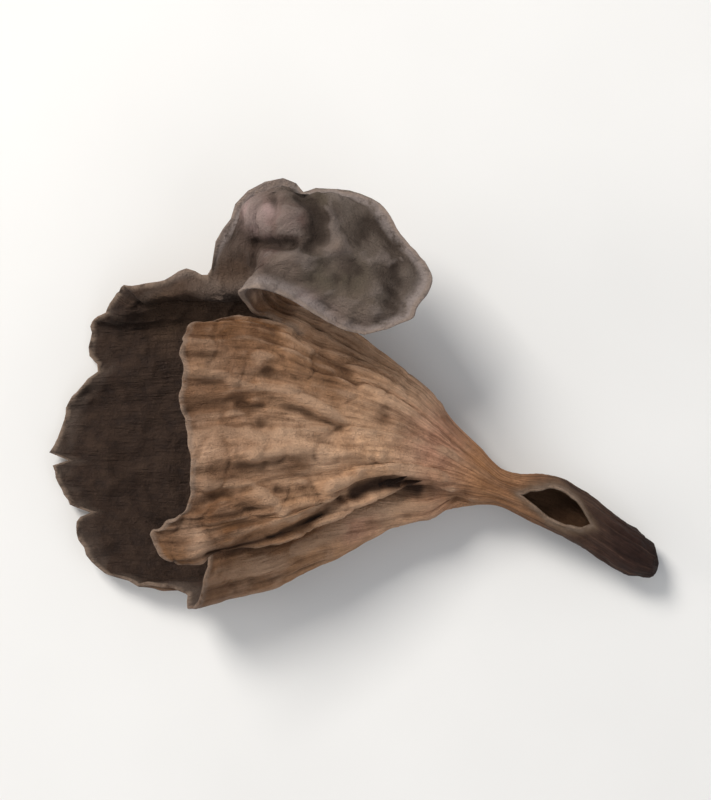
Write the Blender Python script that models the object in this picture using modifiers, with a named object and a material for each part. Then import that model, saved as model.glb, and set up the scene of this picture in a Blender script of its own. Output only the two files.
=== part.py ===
"""One dried black trumpet mushroom, lying on its side.

The fruiting body is one piece: a hollow stem with a split in it, a narrow neck, and a thin
funnel that was pressed flat as it dried. The mouth is oblique, so the far wall reaches past
the near one. One side of the wall is pleated into a flap. On the other side the lip is torn
off the near wall and turned back into a curled lobe.

Metres, +Z up. +X runs from the mouth to the foot of the stem, and +Z points from the far wall,
which rests on the ground, to the near wall. Angles around the funnel are in degrees:
0 is +Y, 90 is +Z (the near wall), 180 is -Y and 270 is the far wall. "Reach" is the distance
from the foot of the stem towards the mouth.
"""

import math

import bpy
import numpy as np

MM = 0.001

# Driving dimensions, in millimetres unless they say otherwise
WALL = 0.42                       # thickness of the dried flesh
STEM_REACH = 11.0                 # up to here a row of the mesh has the same reach all round
SPLIT_REACH = 5.3                 # middle of the split in the stem
SPLIT_LENGTH = 3.8
SPLIT_WIDTH = 1.8
SPLIT_TAPER = 0.35                # how much wider it is towards the foot, as a share
SPLIT_ANGLE = 90.0                # the sheet's two sides meet here on the stem
TEAR_ANGLE = 39.0                 # and here on the funnel, where the lobe is torn off the near wall
SEAM_TURNS = (7.5, 15.0)          # over this reach the seam passes from the one angle to the other
TEAR_REACH = 20.4                 # the lip starts here on both sides of the tear
TEAR_FROM = 18.2                  # bottom of the tear
TEAR_WIDTH = 0.5
FUNNEL_FROM = (9.0, 13.0)         # over this reach the ribs grow out of the neck
PLEAT_FROM = (9.5, 16.0)          # and over this one the pleat
NECK_TO = (11.5, 19.0)            # over this reach the pleat stops leaning and widening
PLEAT_ANGLE = 154.0               # groove between the near wall's edge and the flap, in degrees
PLEAT_DEPTH = 0.34                # as a share of the half-width
PLEAT_WIDTH = 9.5                 # in degrees
PLEAT_SPREAD = 0.5                # how much wider the pleat is at the neck, as a share
LEAN = 20.0                       # how far the pleat leans over the near wall at the neck, in degrees
LEAN_WIDTH = 32.0                 # in degrees
BOXINESS = 0.85                   # 1 gives an oval section, less a squarer one
RUFFLE = 0.45                     # how far the edge of the funnel waves in and out
RUFFLE_FROM = (18.0, 28.0)        # over this reach the waves grow
RUFFLE_WAVES = ((7.0, 40.0, 1.0), (12.0, 0.0, 0.6))   # waves a turn, phase in degrees, share
GROUND_PRESS = 0.12               # how softly the flattened far wall rises from the ground
REST_POINTS = ((26.9, -1.6), (19.9, 4.6), (1.1, -5.6))   # reach and side of the low wrinkles it lies on
REST_WIDTH = 0.9
REST_DEPTH = 0.2
REST_BELOW = (0.4, 0.9)           # heights over which these wrinkles fade out

# The lobe, in millimetres and degrees
LOBE_ANGLE = 24.0                 # middle of its fold
LOBE_WIDTH = 18.0                 # in degrees
LOBE_LENGTH = 7.0                 # past its curl
LOBE_LIFT = 1.5                   # how far it stands off the body
LOBE_CUP = 0.7                    # how far its edge is turned up
LOBE_SPREAD = 14.0                # how far it fans out over the near wall, in degrees
SPREAD_FROM = (12.0, 39.0)        # the angles over which it fans out
SPREAD_OVER = 4.5                 # and the length over which it does so
KNOB = (19.7, 12.1, 1.3, 0.7)     # reach, side, radius and height of the knob on its fold
HOLLOW = (19.5, 10.2, 1.0, -0.5)  # the same of the hollow under the knob

# Mesh density
COLUMNS = 70
STEM_ROWS = 12
STEM_CROWDING = 1.4               # rows are closer together at the foot
FUNNEL_ROWS = 23
BODY_SHARE = (0.52, 0.95)         # share of these rows that lies before the curl: at the lobe, elsewhere
NEAR_ROWS = (15.0, 30.0)          # where this changes, in degrees from the lobe's middle: near side
FAR_ROWS = (22.0, 50.0)           # and the same on the far side
SEAM_GAP = 0.005                  # points this close are one point

# Sections along the body: reach, half-width, half-height, side and height of the middle
SECTIONS = (
    (0.0, 0.15, 0.15, -6.10, 1.00),
    (0.12, 0.55, 0.52, -6.05, 1.00),
    (0.5, 0.86, 0.82, -5.85, 1.05),
    (1.5, 1.10, 1.05, -5.25, 1.15),
    (4.9, 1.32, 1.18, -3.15, 1.70),
    (8.0, 0.75, 0.80, -2.15, 2.15),
    (9.6, 1.45, 1.10, -1.35, 2.20),
    (11.6, 2.70, 1.65, -0.45, 2.25),
    (14.0, 4.15, 2.45, 0.30, 2.45),
    (17.0, 5.80, 3.25, 0.62, 2.85),
    (20.4, 7.25, 4.00, 0.75, 3.35),
    (23.9, 7.80, 4.45, 0.45, 3.85),
    (28.0, 7.30, 4.50, 0.50, 4.20),
    (33.0, 6.80, 4.40, 0.60, 5.10),
)

# The lip around the mouth, from the near wall's side of the tear to the lobe's side: angle,
# reach where it starts, radius of its curl, how far it turns outwards in degrees, and its
# length past the curl
LIP = (
    (39.0, 20.4, 2.2, 10.0, 0.2),
    (43.0, 21.3, 2.2, 10.0, 0.2),
    (47.0, 22.3, 2.2, 10.0, 0.2),
    (52.0, 23.0, 2.2, 10.0, 0.2),
    (59.0, 23.3, 2.2, 10.0, 0.2),
    (75.0, 23.3, 3.0, 10.0, 0.2),
    (96.0, 22.9, 3.0, 8.0, 0.2),
    (109.0, 23.2, 3.0, 5.0, 0.2),
    (121.0, 25.0, 3.0, 8.0, 0.2),
    (133.0, 23.6, 3.0, 8.0, 0.2),
    (154.0, 22.0, 3.0, 5.0, 0.2),
    (174.0, 22.5, 3.0, 12.0, 0.2),
    (184.0, 22.7, 3.0, 15.0, 0.2),
    (194.0, 23.2, 3.0, 12.0, 0.3),
    (205.0, 25.2, 3.0, 10.0, 0.5),
    (222.0, 28.2, 3.0, 12.0, 0.6),
    (250.0, 29.5, 4.0, -8.0, 0.8),
    (262.0, 29.7, 4.0, -10.0, 0.8),
    (275.0, 29.1, 4.0, -12.0, 0.8),
    (292.0, 28.5, 4.0, -4.0, 0.8),
    (308.0, 28.1, 3.0, 10.0, 0.6),
    (326.0, 27.2, 1.0, 45.0, 0.3),
    (338.0, 26.4, 0.8, 70.0, 0.2),
    (348.0, 24.8, 0.7, 80.0, 0.2),
    (355.0, 22.7, 0.9, 92.0, 0.2),
    (361.0, 20.8, 1.65, 120.0, 0.3),
    (367.0, 19.4, 2.5, 155.0, 0.9),
    (373.0, 18.6, 2.9, 172.0, 3.2),
    (379.0, 18.8, 2.4, 180.0, 4.9),
    (385.0, 19.1, 1.8, 180.0, 6.8),
    (390.0, 19.6, 1.4, 180.0, 6.9),
    (394.0, 20.1, 1.0, 180.0, 6.2),
    (399.0, 20.4, 0.7, 180.0, 4.8),
)

# Lengthwise ribs: angle, width in degrees and height as a share of the half-width
RIBS = (
    (53.0, 4.0, 0.060),
    (66.0, 4.5, 0.110),
    (81.0, 3.5, 0.070),
    (96.0, 4.5, 0.130),
    (112.0, 4.0, 0.110),
    (130.0, 6.0, 0.150),
    (184.0, 9.0, 0.100),
    (208.0, 6.0, 0.070),
    (234.0, 7.0, 0.050),
    (305.0, 7.0, 0.050),
    (332.0, 6.0, 0.060),
)

# Stretches of the girth that get more columns: angle, width in degrees and extra density
DENSE = ((25.0, 20.0, 4.0), (100.0, 38.0, 1.6))


def smoothstep(low, high, value):
    """0 below low, 1 above high, and a smooth step between them."""
    share = np.clip((value - low) / (high - low), 0.0, 1.0)
    return share * share * (3.0 - 2.0 * share)


def bump(distance, width):
    """A smooth hump, 1 high and about twice the width wide."""
    return np.exp(-0.5 * (distance / width) ** 2)


def turn_between(angle, other):
    """The signed turn from one angle to another, in degrees."""
    return (angle - other + 180.0) % 360.0 - 180.0


def curve_through(knots, values, at):
    """A smooth curve through the knots that doesn't overshoot them."""
    knots = np.asarray(knots, float)
    values = np.asarray(values, float)
    steps = np.diff(knots)
    slopes = np.diff(values) / steps
    tangents = np.zeros_like(values)
    same_way = slopes[:-1] * slopes[1:] > 0
    mean = 2.0 * slopes[:-1] * slopes[1:] / np.where(same_way, slopes[:-1] + slopes[1:], 1.0)
    tangents[1:-1] = np.where(same_way, mean, 0.0)
    tangents[0] = slopes[0]
    tangents[-1] = slopes[-1]
    span = np.clip(np.searchsorted(knots, at, side="right") - 1, 0, len(steps) - 1)
    step = steps[span]
    share = (at - knots[span]) / step
    rest = 1.0 - share
    ends = values[span] * (1.0 + 2.0 * share) * rest**2 + values[span + 1] * (3.0 - 2.0 * share) * share**2
    return ends + step * share * rest * (tangents[span] * rest - tangents[span + 1] * share)


def section(reach, column):
    """One column of SECTIONS at each reach."""
    table = np.array(SECTIONS)
    return curve_through(table[:, 0], table[:, column], reach)


def lip(angle, column):
    """One column of LIP at each angle."""
    table = np.array(LIP)
    return curve_through(table[:, 0], table[:, column], TEAR_ANGLE + (angle - TEAR_ANGLE) % 360.0)


def half_width(reach, angle):
    """The half-width of the body at a reach, with the ribs and the pleat."""
    near_neck = 1.0 - smoothstep(*NECK_TO, reach)
    angle = angle + LEAN * near_neck * bump(turn_between(angle, PLEAT_ANGLE), LEAN_WIDTH)
    shape = np.ones_like(reach + angle)
    for rib_angle, width, height in RIBS:
        shape += height * smoothstep(*FUNNEL_FROM, reach) * bump(turn_between(angle, rib_angle), width)
    pleat = bump(turn_between(angle, PLEAT_ANGLE), PLEAT_WIDTH * (1.0 + PLEAT_SPREAD * near_neck))
    shape -= PLEAT_DEPTH * smoothstep(*PLEAT_FROM, reach) * pleat
    return section(reach, 1) * shape


def girth_angles(seam):
    """The column angles once around from the seam, closer together on the lobe and the ribbed wall."""
    angles = np.linspace(seam, seam + 360.0, 1441)
    density = np.ones_like(angles)
    for centre, width, extra in DENSE:
        density += extra * bump(turn_between(angles, centre), width)
    total = np.concatenate([[0.0], np.cumsum(0.5 * (density[1:] + density[:-1]))])
    return np.interp(np.linspace(0.0, total[-1], COLUMNS + 1), total, angles)


def seam_gap(reach):
    """Half the width of the gap between the sheet's two sides, in degrees: the split and the tear."""
    along_split = np.clip((reach - SPLIT_REACH) / (0.5 * SPLIT_LENGTH), -1.0, 1.0)
    split = SPLIT_WIDTH * (1.0 - along_split**2) * (1.0 - SPLIT_TAPER * along_split)
    tear = TEAR_WIDTH * smoothstep(TEAR_FROM, TEAR_REACH, reach)
    return np.degrees(0.5 * (split / section(SPLIT_REACH, 1) + tear / section(TEAR_REACH, 1)))


def column_angles(column, reach):
    """The angle of each column at the reach that its row has beside the seam."""
    turned = smoothstep(*SEAM_TURNS, reach)
    seam = SPLIT_ANGLE + (TEAR_ANGLE - SPLIT_ANGLE) * turned
    on_stem = girth_angles(SPLIT_ANGLE)[column]
    angle = on_stem + (girth_angles(TEAR_ANGLE)[column] - on_stem) * turned
    return angle + seam_gap(reach) * (seam + 180.0 - angle) / 180.0


def ruffle(angle):
    """The waves of the funnel's edge, once around."""
    wave = np.zeros_like(angle)
    for count, phase, share in RUFFLE_WAVES:
        wave += share * np.sin(np.radians(count * angle + phase))
    return RUFFLE * wave


def row_length(angle, share, body, whole):
    """How far along the funnel's wall a row is, so that the rows follow the curl and the tear.

    Up to the tear's bottom a row is as far along on both sides of the tear. From there the rows
    of the near wall are even, and the lobe has most of its rows on its curl.
    """
    from_lobe = turn_between(angle, LOBE_ANGLE)
    near = from_lobe >= TEAR_ANGLE - LOBE_ANGLE
    settled = np.where(near, smoothstep(*NEAR_ROWS, from_lobe), smoothstep(*FAR_ROWS, -from_lobe))
    to_tear = TEAR_FROM - STEM_REACH
    first = np.where(near, BODY_SHARE[0] * to_tear / (TEAR_REACH - STEM_REACH), BODY_SHARE[0])
    knot = np.where(near, to_tear + (body - to_tear) * settled, body)
    at_knot = first + (BODY_SHARE[1] - first) * settled
    after = np.maximum(share - at_knot, 0.0) / (1.0 - at_knot)
    return knot * np.minimum(share / at_knot, 1.0) + (whole - knot) * after


def along_wall(angle, stem_reach, share):
    """Follow the wall up the stem, along the funnel, round the curl of its lip and straight on.

    Gives the reach, the distance out from the middle line, the reach at which the middle line
    is taken, the heading (0 towards the mouth, a quarter turn outwards), and the length past
    the curl. A lobe that turns back keeps the middle line of its fold.
    """
    start_reach = lip(angle, 1)
    radius = lip(angle, 2)
    turn = np.radians(lip(angle, 3))
    curl = radius * np.abs(turn)
    body = start_reach - STEM_REACH
    beyond = row_length(angle, share, body, body + curl + lip(angle, 4))
    on_curl = np.clip(beyond - body, 0.0, curl)
    past = np.maximum(beyond - body - curl, 0.0)

    reach = stem_reach + np.minimum(beyond, body)
    out = half_width(reach, angle) + ruffle(angle) * smoothstep(*RUFFLE_FROM, reach)
    slope = half_width(start_reach + 0.5, angle) - half_width(start_reach - 0.5, angle)
    start = np.arctan(slope)
    way = np.sign(turn)
    heading = start + way * on_curl / radius
    reach = reach + way * radius * (np.sin(heading) - np.sin(start)) + past * np.cos(heading)
    out = out + way * radius * (np.cos(start) - np.cos(heading)) + past * np.sin(heading)
    middle = np.where(beyond > body, np.maximum(reach, start_reach), reach)
    return reach, out, middle, heading, past


def place(middle, out, angle):
    """Side and height of a point."""
    flat = section(middle, 2) / section(middle, 1)
    across = np.cos(np.radians(angle))
    up = np.sin(np.radians(angle))
    side = section(middle, 3) + out * np.sign(across) * np.abs(across) ** BOXINESS
    height = section(middle, 4) + out * flat * np.sign(up) * np.abs(up) ** BOXINESS
    return side, height


def lobe_dent(reach, side, heading):
    """How far the knob and the hollow move the lobe's fold out or in."""
    folded = smoothstep(0.4 * math.pi, 0.8 * math.pi, heading)
    dent = np.zeros_like(reach)
    for at_reach, at_side, width, rise in (KNOB, HOLLOW):
        dent += rise * folded * bump(np.hypot(reach - at_reach, side - at_side), width)
    return dent


def press_on_ground(reach, side, height):
    """The height of the wall once its underside is pressed flat, all but the wrinkles it lies on."""
    lowest = 0.5 * WALL
    height = lowest + np.logaddexp(0.0, (height - lowest) / GROUND_PRESS) * GROUND_PRESS
    underside = 1.0 - smoothstep(*REST_BELOW, height)
    for at_reach, at_side in REST_POINTS:
        near = bump(np.hypot(reach - at_reach, side - at_side), REST_WIDTH)
        height = height - REST_DEPTH * underside * near
    return height


def wall_points(row, column):
    """The middle of the wall, in millimetres, for mesh rows and columns numbered from 0."""
    stem_reach = STEM_REACH * np.minimum(row / STEM_ROWS, 1.0) ** STEM_CROWDING
    share = np.maximum(row - STEM_ROWS, 0) / FUNNEL_ROWS
    to_tear = np.minimum(share / BODY_SHARE[0], 1.0)
    angle = column_angles(column, stem_reach + (TEAR_REACH - STEM_REACH) * to_tear)
    reach, out, middle, heading, past = along_wall(angle, stem_reach, share)

    along_lobe = past / LOBE_LENGTH
    spread = LOBE_SPREAD * smoothstep(0.0, SPREAD_OVER, past)
    angle = angle + spread * smoothstep(*SPREAD_FROM, turn_between(angle, 0.0))
    side, height = place(middle, out, angle)
    dent = lobe_dent(reach, side, heading)
    side, height = place(middle, out - dent * np.cos(heading), angle)
    reach = reach + dent * np.sin(heading)
    lift = LOBE_LIFT * smoothstep(0.0, math.pi, heading) + LOBE_CUP * along_lobe**2
    height += lift * bump(turn_between(angle, LOBE_ANGLE), LOBE_WIDTH)

    return np.stack([-reach, side, press_on_ground(reach, side, height)], axis=-1)


def add_wall(name):
    """The wall as an open sheet: a grid wrapped round the body, whose two long sides meet."""
    rows = STEM_ROWS + FUNNEL_ROWS
    bpy.ops.mesh.primitive_grid_add(x_subdivisions=COLUMNS, y_subdivisions=rows, size=1.0)
    wall = bpy.context.object
    wall.name = name
    wall.data.name = name
    mesh = wall.data
    flat = np.empty(len(mesh.vertices) * 3)
    mesh.vertices.foreach_get("co", flat)
    grid = flat.reshape(-1, 3)
    column = np.rint((grid[:, 0] + 0.5) * COLUMNS).astype(int)
    row = np.rint((grid[:, 1] + 0.5) * rows).astype(int)
    points = wall_points(row, column)
    # the foot closes on one point
    points[row == 0] = points[row == 0].mean(axis=0)
    mesh.vertices.foreach_set("co", (points * MM).ravel())
    mesh.update()
    return wall


def add_modifiers(wall):
    """Close the seam, then give the sheet its thickness."""
    weld = wall.modifiers.new("Seam", "WELD")
    weld.merge_threshold = SEAM_GAP * MM
    thickness = wall.modifiers.new("Flesh", "SOLIDIFY")
    thickness.thickness = WALL * MM
    thickness.offset = 0.0
    thickness.use_rim = True


def add_material(wall):
    """Tan, dull, dry flesh."""
    flesh = bpy.data.materials.new("Dried flesh")
    flesh.use_nodes = True
    shader = flesh.node_tree.nodes["Principled BSDF"]
    shader.inputs["Base Color"].default_value = (0.25, 0.14, 0.085, 1.0)
    shader.inputs["Roughness"].default_value = 0.75
    shader.inputs["Metallic"].default_value = 0.0
    wall.data.materials.append(flesh)


def centre_on_ground(wall):
    """Put the origin under the middle of the body, with its lowest point on the ground."""
    bpy.context.view_layer.update()
    shown = wall.evaluated_get(bpy.context.evaluated_depsgraph_get()).to_mesh()
    corners = np.array([vertex.co[:] for vertex in shown.vertices])
    low = corners.min(axis=0)
    high = corners.max(axis=0)
    shift = np.array([-(low[0] + high[0]) / 2, -(low[1] + high[1]) / 2, -low[2]])
    for vertex in wall.data.vertices:
        vertex.co = [value + move for value, move in zip(vertex.co, shift)]


def main():
    for old in list(bpy.data.objects):
        bpy.data.objects.remove(old, do_unlink=True)
    collection = bpy.data.collections.new("Dried black trumpet")
    bpy.context.scene.collection.children.link(collection)
    wall = add_wall("mushroom")
    for holder in list(wall.users_collection):
        holder.objects.unlink(wall)
    collection.objects.link(wall)
    add_modifiers(wall)
    add_material(wall)
    wall.data.shade_smooth()
    centre_on_ground(wall)


main()
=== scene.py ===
"""Looks of one dried black trumpet mushroom, lying on its side.

The mushroom is one thin skin: a hollow stem with a split in it, a narrow neck, and a funnel whose
lip is torn and turned back into a lobe on one side, and whose wall is pleated into a flap on the
other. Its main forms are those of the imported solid. The forked ribs, creases, pits, wrinkles,
rolled rims and torn edge are added here. Shapes are worked out in millimetres, and angles in
degrees. Reach is the distance from the foot of the stem towards the mouth, and side the distance
towards the lobe. The near wall, at an angle of 90, faces up.
"""

import itertools
import math

import bpy
import numpy as np
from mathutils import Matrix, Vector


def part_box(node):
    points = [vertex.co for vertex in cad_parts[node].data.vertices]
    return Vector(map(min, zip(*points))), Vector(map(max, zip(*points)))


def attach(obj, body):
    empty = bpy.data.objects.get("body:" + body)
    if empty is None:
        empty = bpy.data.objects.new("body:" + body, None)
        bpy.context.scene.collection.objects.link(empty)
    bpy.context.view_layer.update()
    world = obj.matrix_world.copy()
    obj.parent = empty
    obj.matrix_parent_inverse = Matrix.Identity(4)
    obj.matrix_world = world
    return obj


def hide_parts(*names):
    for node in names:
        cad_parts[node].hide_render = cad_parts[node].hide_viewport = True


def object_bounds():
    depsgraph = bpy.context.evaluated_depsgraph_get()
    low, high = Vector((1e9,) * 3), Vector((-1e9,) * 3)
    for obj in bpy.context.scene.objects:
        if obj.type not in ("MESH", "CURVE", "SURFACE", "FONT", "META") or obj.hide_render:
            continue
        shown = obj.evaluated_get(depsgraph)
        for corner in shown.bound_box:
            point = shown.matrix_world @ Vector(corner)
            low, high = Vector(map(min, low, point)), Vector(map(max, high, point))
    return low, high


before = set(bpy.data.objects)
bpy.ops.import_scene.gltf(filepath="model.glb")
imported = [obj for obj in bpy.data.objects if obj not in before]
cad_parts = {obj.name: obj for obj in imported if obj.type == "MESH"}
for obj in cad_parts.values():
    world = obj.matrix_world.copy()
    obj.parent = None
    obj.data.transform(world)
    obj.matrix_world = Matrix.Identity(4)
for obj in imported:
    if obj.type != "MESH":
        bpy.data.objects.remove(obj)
cad_low, cad_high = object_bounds()

MM = 0.001

# Main forms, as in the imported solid
WALL = 0.42  # thickness of the dried flesh
STEM_REACH = 11.0  # up to here a row has the same reach all round
STEM_CROWDING = 1.4  # rows are closer together at the foot
SPLIT_REACH = 5.3  # middle of the split in the stem
SPLIT_LENGTH = 3.8
SPLIT_WIDTH = 1.8
SPLIT_TAPER = 0.35  # how much wider it is towards the foot, as a share
SPLIT_ANGLE = 90.0  # the sheet's two sides meet here on the stem
TEAR_ANGLE = 39.0  # and here on the funnel, where the lobe is torn off
SEAM_TURNS = (7.5, 15.0)  # reach over which the seam passes to the other
TEAR_REACH = 20.4  # the lip starts here on both sides of the tear
TEAR_FROM = 18.2  # bottom of the tear
TEAR_WIDTH = 0.5
FUNNEL_FROM = (9.0, 13.0)  # reach over which the ribs grow
PLEAT_FROM = (9.5, 16.0)  # and the pleat
NECK_TO = (11.5, 19.0)  # and over which the pleat stops leaning
PLEAT_ANGLE = 154.0  # groove between near wall and flap
PLEAT_DEPTH = 0.34  # as a share of the half-width
PLEAT_WIDTH = 9.5
PLEAT_SPREAD = 0.5  # how much wider it is at the neck, as a share
LEAN = 20.0  # how far it leans over the near wall there
LEAN_WIDTH = 32.0
BOXINESS = 0.85  # 1 gives an oval section, less a squarer one
RUFFLE = 0.45  # how far the edge of the funnel waves in and out
RUFFLE_FROM = (18.0, 28.0)  # reach over which the waves grow
RUFFLE_WAVES = ((7.0, 40.0, 1.0), (12.0, 0.0, 0.6))  # waves a turn, phase, share
GROUND_PRESS = 0.12  # how softly the far wall rises from the ground
REST_POINTS = ((26.9, -1.6), (19.9, 4.6), (1.1, -5.6))  # reach and side
REST_WIDTH = 0.9
REST_DEPTH = 0.2
REST_BELOW = (0.4, 0.9)  # heights over which the rests fade out
LOBE_ANGLE = 24.0  # middle of the lobe's fold
LOBE_WIDTH = 18.0
LOBE_LENGTH = 7.0
LOBE_LIFT = 1.5  # how far it stands off the body
LOBE_CUP = 0.7  # how far its edge is turned up
LOBE_SPREAD = 14.0  # how far it fans out
SPREAD_FROM = (12.0, 39.0)  # angles over which it does so
SPREAD_OVER = 4.5  # and the length
KNOB = (19.7, 12.1, 1.3, 0.7)  # reach, side, radius and height
HOLLOW = (19.5, 10.2, 1.0, -0.5)  # the same of the hollow under it

# Sections along the body: reach, half-width, half-height, side and height of the middle
SECTIONS = (
    (0.0, 0.15, 0.15, -6.1, 1.0), (0.12, 0.55, 0.52, -6.05, 1.0), (0.5, 0.86, 0.82, -5.85, 1.05),
    (1.5, 1.1, 1.05, -5.25, 1.15), (4.9, 1.32, 1.18, -3.15, 1.7), (8.0, 0.75, 0.8, -2.15, 2.15),
    (9.6, 1.45, 1.1, -1.35, 2.2), (11.6, 2.7, 1.65, -0.45, 2.25), (14.0, 4.15, 2.45, 0.3, 2.45),
    (17.0, 5.8, 3.25, 0.62, 2.85), (20.4, 7.25, 4.0, 0.75, 3.35), (23.9, 7.8, 4.45, 0.45, 3.85),
    (28.0, 7.3, 4.5, 0.5, 4.2), (33.0, 6.8, 4.4, 0.6, 5.1),
)

# The lip around the mouth, from the near wall's side of the tear to the lobe's side: angle,
# reach where it starts, radius of its curl, how far it turns outwards in degrees, and its
# length past the curl
LIP = (
    (39.0, 20.4, 2.2, 10.0, 0.2), (43.0, 21.3, 2.2, 10.0, 0.2), (47.0, 22.3, 2.2, 10.0, 0.2),
    (52.0, 23.0, 2.2, 10.0, 0.2), (59.0, 23.3, 2.2, 10.0, 0.2), (75.0, 23.3, 3.0, 10.0, 0.2),
    (96.0, 22.9, 3.0, 8.0, 0.2), (109.0, 23.2, 3.0, 5.0, 0.2), (121.0, 25.0, 3.0, 8.0, 0.2),
    (133.0, 23.6, 3.0, 8.0, 0.2), (154.0, 22.0, 3.0, 5.0, 0.2), (174.0, 22.5, 3.0, 12.0, 0.2),
    (184.0, 22.7, 3.0, 15.0, 0.2), (194.0, 23.2, 3.0, 12.0, 0.3), (205.0, 25.2, 3.0, 10.0, 0.5),
    (222.0, 28.2, 3.0, 12.0, 0.6), (250.0, 29.5, 4.0, -8.0, 0.8), (262.0, 29.7, 4.0, -10.0, 0.8),
    (275.0, 29.1, 4.0, -12.0, 0.8), (292.0, 28.5, 4.0, -4.0, 0.8), (308.0, 28.1, 3.0, 10.0, 0.6),
    (326.0, 27.2, 1.0, 45.0, 0.3), (338.0, 26.4, 0.8, 70.0, 0.2), (348.0, 24.8, 0.7, 80.0, 0.2),
    (355.0, 22.7, 0.9, 92.0, 0.2), (361.0, 20.8, 1.65, 120.0, 0.3), (367.0, 19.4, 2.5, 155.0, 0.9),
    (373.0, 18.6, 2.9, 172.0, 3.2), (379.0, 18.8, 2.4, 180.0, 4.9), (385.0, 19.1, 1.8, 180.0, 6.8),
    (390.0, 19.6, 1.4, 180.0, 6.9), (394.0, 20.1, 1.0, 180.0, 6.2), (399.0, 20.4, 0.7, 180.0, 4.8),
)

# Lengthwise ribs: angle, width in degrees and height as a share of the half-width
RIBS = (
    (53.0, 4.0, 0.06), (66.0, 4.5, 0.11), (81.0, 3.5, 0.07), (96.0, 4.5, 0.13), (112.0, 4.0, 0.11),
    (130.0, 6.0, 0.15), (184.0, 9.0, 0.1), (208.0, 6.0, 0.07), (234.0, 7.0, 0.05),
    (305.0, 7.0, 0.05), (332.0, 6.0, 0.06),
)

# Density of the fine skin
COLUMNS = 300
STEM_ROWS = 42
FUNNEL_ROWS = 118
RIM_STEPS = 6  # facets across a torn edge
BODY_SHARE = (0.52, 0.93)  # share of rows before the curl: lobe, elsewhere
NEAR_ROWS = (15.0, 30.0)  # angles from the lobe where this changes: near side
FAR_ROWS = (22.0, 50.0)  # and far side
DENSE = ((25.0, 20.0, 3.0), (100.0, 38.0, 1.5), (123.0, 14.0, 2.2))  # angle, width, extra columns

# The fine skin
EDGE_WALL = 0.2  # thickness at the edge
THIN_OVER = 2.6  # it thins over this length
SOFT_GROUND = 0.02  # how softly wrinkles are kept off the ground
JAGGED = 0.11  # how far the torn sides waver
JAGS = 1.9  # and how often in a millimetre
RAGGED = ((0.3, 26.0, 1.0, 3), (0.2, 80.0, 1.0, 4))  # as LONG_CRUMPLES
# Tears in the edge, and places where it sticks out or in: angle, width in degrees and length
NOTCHES = ((238.0, 3.0, 0.8), (262.0, 1.2, 1.1), (297.0, 2.2, 0.9))
EDGE_FORM = (
    (5.2, 1.5, 0.6), (9.0, 2.0, -0.95), (14.6, 2.6, -1.0), (20.3, 1.6, 0.35), (27.0, 3.6, -0.75),
    (-3.0, 2.0, -0.95),
)
# Forking ribs: how many once around, where along the wall they come in, and their height
RIB_LEVELS = ((11, 0.0, 0.1), (22, 8.5, 0.16), (44, 12.0, 0.17), (88, 16.0, 0.1))
RIB_WANDER = ((8.0, 9.0, 0.14, 11), (3.0, 24.0, 0.35, 12))  # noise that bends them, in degrees
# Noise that crumples the wall: height, size of a bump and seed
CRUMPLES = ((0.05, 1.0, 42), (0.02, 0.45, 43))
MOUTH_CRUMPLES = ((0.14, 2.6, 41),)
FOOT_CRUMPLES = ((0.16, 0.9, 54), (0.08, 0.4, 55))
# The same drawn out along the wall: bumps once around and a millimetre for the size
LONG_CRUMPLES = ((0.11, 40.0, 0.45, 50), (0.06, 90.0, 0.8, 51))
STEM_CRUMPLES = ((0.12, 11.0, 0.3, 52), (0.08, 30.0, 0.7, 53))
CREASE_DEPTH = 0.1
CRUMPLES_FROM = (8.0, 16.0)  # lengths over which the mouth's crumples grow
STEM_TO = (7.0, 12.0)  # and the stem's and the foot's end
FOOT_TO = (0.4, 3.0)
NEAR_FROM = (14.0, 24.0)  # angles over which the near wall begins and ends
NEAR_TO = (166.0, 176.0)
NEAR_PAST_NECK = (9.0, 10.5)  # and the lengths over which it begins
TURNED_FROM = (0.35 * math.pi, 0.75 * math.pi)  # headings over which the lip is turned back

# Folds of the near wall, raised or sunk: reach and side of points along each, width and height
NEAR_FOLDS = (
    (((23.4, 3.9), (20.4, 2.9), (19.2, 2.8), (17.6, 2.2), (16.5, 1.4), (15.0, 0.7)), 0.26, 0.3),
    (((23.7, 0.7), (21.3, 0.8), (19.8, 0.4)), 0.3, 0.18),
    (((20.6, -0.4), (18.8, -0.2), (17.6, -0.15), (16.1, -0.1), (14.4, -0.2)), 0.28, 0.3),
    (((19.2, 0.9), (17.1, 0.9)), 0.2, 0.18),
    (((22.8, -1.8), (20.9, -1.7), (19.8, -2.5), (18.7, -3.4)), 0.26, 0.3),
    (((18.5, 6.7), (16.9, 5.75), (14.7, 4.7), (13.2, 3.6), (11.4, 2.0)), 0.3, 0.26),
    (((14.6, 0.9), (12.6, 0.3), (10.6, -0.4)), 0.22, 0.18),
    (((23.6, 5.2), (21.8, 4.9), (20.2, 4.5), (18.6, 4.6)), 0.24, 0.16),
    (((18.2, 5.6), (17.4, 5.2), (15.9, 3.9), (15.4, 3.2)), 0.2, -0.34),
    (((23.7, 1.9), (22.5, 2.1), (21.5, 2.25), (20.7, 2.0), (20.2, 2.1)), 0.19, -0.32),
    (((19.7, 2.3), (18.3, 1.95), (17.1, 1.4), (16.3, 1.0)), 0.18, -0.24),
    (((23.2, -1.0), (21.8, -0.7), (20.1, -0.9)), 0.22, -0.16),
    (((19.4, -2.1), (18.0, -2.1), (16.9, -1.5), (15.8, -1.3)), 0.18, -0.22),
    (((23.9, -3.2), (23.1, -2.8), (22.1, -2.2), (20.7, -2.9)), 0.2, -0.26),
    (((13.9, 2.0), (12.4, 1.0), (10.8, 0.1)), 0.2, -0.16),
    (((22.9, 3.2), (21.6, 3.1), (20.6, 3.3)), 0.18, -0.18),
)
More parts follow.
